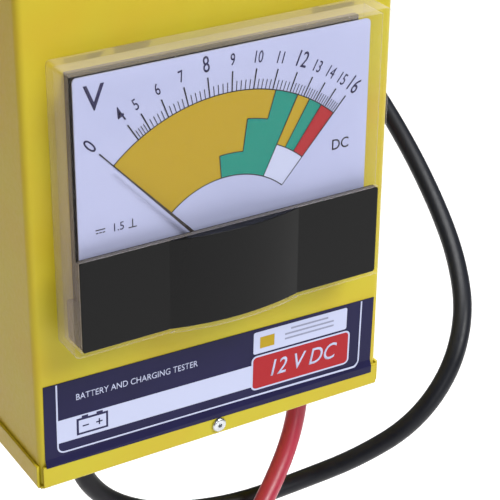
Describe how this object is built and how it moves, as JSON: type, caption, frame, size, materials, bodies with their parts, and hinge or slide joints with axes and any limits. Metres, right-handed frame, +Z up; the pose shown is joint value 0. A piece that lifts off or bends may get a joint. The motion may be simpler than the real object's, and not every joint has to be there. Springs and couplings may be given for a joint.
{
  "type": "battery tester",
  "caption": "Hand-carried battery and charging tester in a folded yellow steel case, with a pointer voltmeter, a load button, a rod handle and two leads whose spring clamps grip the handle.",
  "frame": {"origin": "middle of the hand grip that the tester is carried by", "axes": "+Z up the case towards the grip, +Y from the meter's face to the back panel, +X to the meter's right as read"},
  "size_m": [0.2524, 0.2166, 0.3679],
  "materials": {
    "yellow_enamel": "glossy yellow enamel over folded sheet steel, a fine orange-peel texture",
    "printed_film": "printed and laminated film, dark blue with white and red print",
    "zinc_plate": "bright zinc plate on steel fasteners",
    "chrome_rod": "chromed steel rod",
    "grip_rubber": "moulded black rubber, fine matt texture",
    "clear_cover": "clear moulded acrylic, polished, with a faint warm tint at its edges",
    "black_moulding": "black moulded plastic with a soft sheen",
    "dial_card": "white enamelled aluminium plate, printed scale",
    "needle_black": "thin blackened aluminium pointer",
    "spring_steel": "polished hardened steel",
    "bronze": "phosphor bronze and copper",
    "magnet_iron": "sintered magnet and soft iron",
    "bridge_brass": "stamped brass",
    "button_red": "red moulded plastic, glossy",
    "nichrome": "oxidised resistance strip",
    "laminate": "brown heat-proof laminate board",
    "red_sheath": "soft red cable sheath with a satin sheen",
    "black_sheath": "soft black cable sheath with a satin sheen",
    "soft_black": "moulded rubber",
    "nylon": "natural nylon moulding",
    "clamp_steel": "nickel-plated stamped steel",
    "red_vinyl": "dipped red vinyl",
    "black_vinyl": "dipped black vinyl"
  },
  "bodies": {
    "case": {"case_body": "yellow_enamel", "bottom_tray": "yellow_enamel", "top_cap": "yellow_enamel", "back_panel": "yellow_enamel", "front_label": "printed_film", "tray_rivets": "zinc_plate", "cap_rivets": "zinc_plate", "back_screws": "zinc_plate", "handle_nuts": "zinc_plate", "dial_screws": "zinc_plate", "meter_studs": "zinc_plate", "meter_nuts": "zinc_plate", "element_rods": "zinc_plate", "switch_terminals": "zinc_plate", "meter_terminals": "zinc_plate", "jewel_screws": "zinc_plate", "handle_rod": "chrome_rod", "handle_grip": "grip_rubber", "meter_cover": "clear_cover", "meter_mask": "black_moulding", "meter_housing": "black_moulding", "switch_body": "black_moulding", "switch_nut": "black_moulding", "dial_plate": "dial_card", "switch_spring": "spring_steel", "red_clamp_spring": "spring_steel", "black_clamp_spring": "spring_steel", "bus_straps": "bronze", "cable_lugs": "bronze", "red_clamp_contact": "bronze", "black_clamp_contact": "bronze", "magnet_yoke": "magnet_iron", "magnet_core": "magnet_iron", "movement_bridges": "bridge_brass", "load_element": "nichrome", "element_boards": "laminate", "red_lead": "red_sheath", "red_tail": "red_sheath", "black_lead": "black_sheath", "black_tail": "black_sheath", "lead_grommets": "soft_black", "meter_wires": "soft_black", "lead_clips": "nylon", "red_clamp_fixed_half": "clamp_steel", "red_clamp_pin": "clamp_steel", "black_clamp_fixed_half": "clamp_steel", "black_clamp_pin": "clamp_steel", "red_clamp_fixed_grip": "red_vinyl", "black_clamp_fixed_grip": "black_vinyl"},
    "needle": {"needle": "needle_black", "needle_shaft": "spring_steel", "moving_coil": "bronze", "hairsprings": "bronze"},
    "button": {"switch_button": "button_red"},
    "black_clamp_lever": {"black_clamp_moving_half": "clamp_steel", "black_clamp_moving_grip": "black_vinyl"},
    "red_clamp_lever": {"red_clamp_moving_half": "clamp_steel", "red_clamp_moving_grip": "red_vinyl"}
  },
  "joints": [
    {"name": "needle_swing", "type": "hinge", "parent": "case", "child": "needle", "pos_m": [-0.0004, -0.05, -0.2175], "axis": [0, 1, 0], "range_deg": [0, 84.9], "stiffness_Nm_per_rad": 0.002, "springref_deg": -5.73},
    {"name": "load_button", "type": "slide", "parent": "case", "child": "button", "axis": [0, 1, 0], "range_m": [0, 0.004], "stiffness_N_per_m": 1200, "springref_m": -0.003, "deforming": ["switch_spring"]},
    {"name": "black_clamp_jaw", "type": "hinge", "parent": "case", "child": "black_clamp_lever", "pos_m": [0.052, 0.034, -0.026], "axis": [0, 0, -1], "range_deg": [0, 18], "stiffness_Nm_per_rad": 1.2, "springref_deg": -28.65, "deforming": ["black_clamp_spring"]},
    {"name": "red_clamp_jaw", "type": "hinge", "parent": "case", "child": "red_clamp_lever", "pos_m": [-0.052, 0.034, -0.026], "axis": [0, 0, 1], "range_deg": [0, 18], "stiffness_Nm_per_rad": 1.2, "springref_deg": -28.65, "deforming": ["red_clamp_spring"]}
  ]
}
